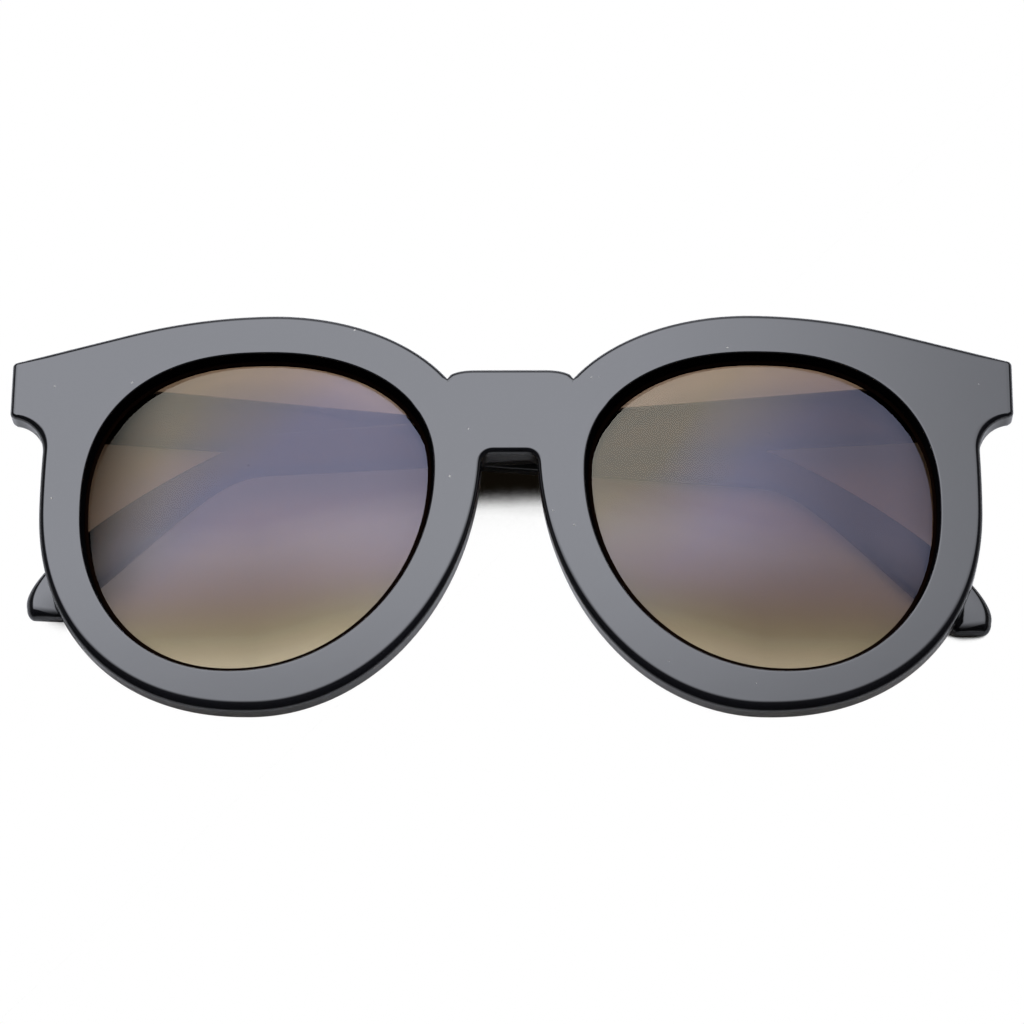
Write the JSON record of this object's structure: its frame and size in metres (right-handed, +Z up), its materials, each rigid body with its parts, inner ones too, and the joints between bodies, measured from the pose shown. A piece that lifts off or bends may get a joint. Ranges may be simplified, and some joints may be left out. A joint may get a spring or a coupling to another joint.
{
  "type": "oversized sunglasses",
  "caption": "Oversized round sunglasses with a thick glossy front, gradient lenses and temples that fold on hinges.",
  "frame": {"origin": "bottom centre of the bounding box, on the table that the folded temples lie on", "axes": "+X along the front's width towards the right temple hinge, +Y towards the brow, +Z up, out of the front's face"},
  "size_m": [0.1518, 0.0628, 0.0172],
  "materials": {
    "acetate": "polished black",
    "lens": "polished gradient smoke tint, dark above and pale below",
    "hinge": "satin",
    "screw": "turned",
    "core_wire": "drawn"
  },
  "bodies": {
    "front": {"front_frame": "acetate", "lens_left": "lens", "lens_right": "lens", "nose_pad_left": "acetate", "nose_pad_right": "acetate", "hinge_front_leaf_left": "hinge", "hinge_front_leaf_right": "hinge", "hinge_screw_left": "screw", "hinge_screw_right": "screw"},
    "temple_left": {"temple_left": "acetate", "temple_core_left": "core_wire", "hinge_temple_leaf_left": "hinge"},
    "temple_right": {"temple_right": "acetate", "temple_core_right": "core_wire", "hinge_temple_leaf_right": "hinge"}
  },
  "joints": [
    {"name": "temple_left_fold", "type": "hinge", "parent": "front", "child": "temple_left", "pos_m": [-0.07013, 0.02018, 0.0056], "axis": [0, 1, 0], "range_deg": [0, 89.5]},
    {"name": "temple_right_fold", "type": "hinge", "parent": "front", "child": "temple_right", "pos_m": [0.07013, 0.02018, 0.0092], "axis": [0, -1, 0], "range_deg": [0, 92.5]}
  ]
}
